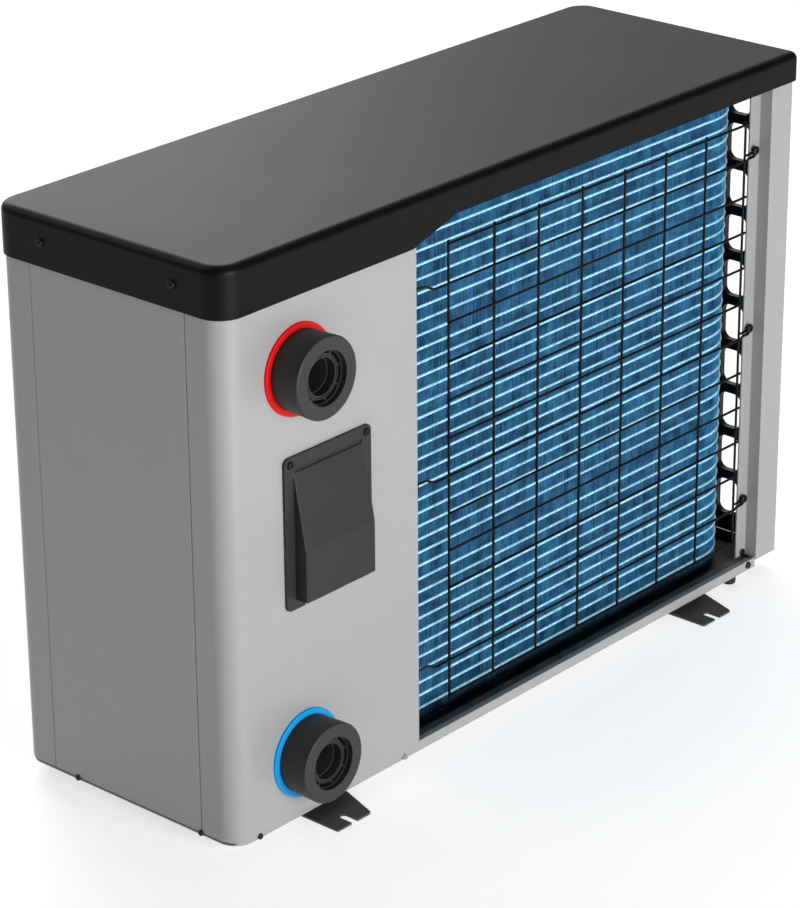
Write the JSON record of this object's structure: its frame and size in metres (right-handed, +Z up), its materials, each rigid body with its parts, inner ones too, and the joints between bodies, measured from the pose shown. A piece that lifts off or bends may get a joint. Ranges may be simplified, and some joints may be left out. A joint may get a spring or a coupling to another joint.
{
  "type": "pool heat pump",
  "caption": "Small air-source pool heat pump: a slim grey cabinet with a black lid, a bent finned coil behind a wire guard, a side fan and two water unions.",
  "frame": {"origin": "on the floor, under the middle of the unit's whole outline, unions and feet included", "axes": "+X along the cabinet towards the end with the water unions, +Y towards the rear with the coil and the unions, +Z up; the fan blows out at -Y"},
  "size_m": [0.9744, 0.406, 0.6584],
  "materials": {
    "painted_steel": "grey powder coat",
    "lid_plastic": "black satin moulded plastic with a fine grain",
    "cover_plastic": "dark grey matt plastic",
    "black_plastic": "black moulded plastic",
    "union_plastic": "dark grey moulded plastic",
    "nozzle_plastic": "grey moulded plastic",
    "red_plastic": "red moulded plastic",
    "blue_plastic": "blue moulded plastic",
    "dark_steel": "dark grey powder coat",
    "zinc_steel": "zinc plated steel",
    "black_screws": "black coated steel",
    "black_wire": "black plastic coated steel wire",
    "rubber": "black rubber",
    "cream_plastic": "cream moulded plastic",
    "blue_fins": "aluminium fins with a blue coating",
    "galvanised_steel": "galvanised sheet",
    "copper": "bare copper tube",
    "brass": "brass body",
    "fan_plastic": "dark moulded plastic",
    "motor_paint": "dark enamel",
    "compressor_paint": "black enamel",
    "shell_plastic": "pale grey pressure pipe plastic",
    "titanium": "titanium tube",
    "board_green": "green circuit board",
    "smoked_glass": "smoked touch window"
  },
  "bodies": {
    "root": {"base_pan": "painted_steel", "drain_spout": "black_plastic", "foot_rail_right": "dark_steel", "foot_rail_left": "dark_steel", "foot_bolts": "zinc_steel", "front_panel": "painted_steel", "side_panel": "painted_steel", "rear_fitting_panel": "painted_steel", "rear_corner_post": "painted_steel", "side_grille": "black_plastic", "lid": "lid_plastic", "lid_screws": "black_screws", "base_screws": "black_screws", "wire_guard": "black_wire", "guard_screws": "black_screws", "wiring_cover": "cover_plastic", "cover_screws": "black_screws", "cable_grommets": "rubber", "terminal_block": "cream_plastic", "evaporator_fins": "blue_fins", "tube_sheet_rear": "galvanised_steel", "tube_sheet_front": "galvanised_steel", "return_bends_rear": "copper", "return_bends_front": "copper", "coil_header": "copper", "fan_guard": "black_wire", "fan_guard_screws": "black_screws", "fan_orifice": "black_plastic", "fan_motor": "motor_paint", "motor_bracket": "galvanised_steel", "partition_wall": "galvanised_steel", "compressor": "compressor_paint", "compressor_mounts": "rubber", "accumulator": "compressor_paint", "heat_exchanger_shell": "shell_plastic", "titanium_coil": "titanium", "outlet_nozzle": "nozzle_plastic", "inlet_nozzle": "nozzle_plastic", "union_seals": "rubber", "outlet_ring": "red_plastic", "inlet_ring": "blue_plastic", "flow_switch": "black_plastic", "four_way_valve": "brass", "discharge_pipe": "copper", "suction_pipe": "copper", "gas_pipes": "copper", "expansion_valve": "brass", "liquid_pipes": "copper", "control_box": "galvanised_steel", "control_board": "board_green", "board_posts": "cream_plastic", "display_housing": "black_plastic", "display_window": "smoked_glass"},
    "fan": {"fan_rotor": "fan_plastic", "fan_shaft": "zinc_steel", "fan_nut": "zinc_steel"},
    "outlet_tail": {"outlet_union_tail": "union_plastic"},
    "outlet_nut": {"outlet_union_nut": "union_plastic"},
    "inlet_tail": {"inlet_union_tail": "union_plastic"},
    "inlet_nut": {"inlet_union_nut": "union_plastic"}
  },
  "joints": [
    {"name": "fan_spin", "type": "hinge", "parent": "root", "child": "fan", "pos_m": [-0.135, -0.109, 0.315], "axis": [0, 1, 0], "continuous": true},
    {"name": "outlet_union_travel", "type": "slide", "parent": "root", "child": "outlet_tail", "axis": [0, 1, 0], "range_m": [0, 0.0092]},
    {"name": "outlet_nut_turn", "type": "hinge", "parent": "outlet_tail", "child": "outlet_nut", "pos_m": [0.373, 0.19, 0.5225], "axis": [0, 1, 0], "range_deg": [0, 1080]},
    {"name": "inlet_union_travel", "type": "slide", "parent": "root", "child": "inlet_tail", "axis": [0, 1, 0], "range_m": [0, 0.0092]},
    {"name": "inlet_nut_turn", "type": "hinge", "parent": "inlet_tail", "child": "inlet_nut", "pos_m": [0.373, 0.19, 0.087], "axis": [0, 1, 0], "range_deg": [0, 1080]}
  ],
  "couplings": [
    {"joint": "outlet_union_travel", "follows": "outlet_nut_turn", "m_per_rad": 0.00047746},
    {"joint": "inlet_union_travel", "follows": "inlet_nut_turn", "m_per_rad": 0.00047746}
  ]
}
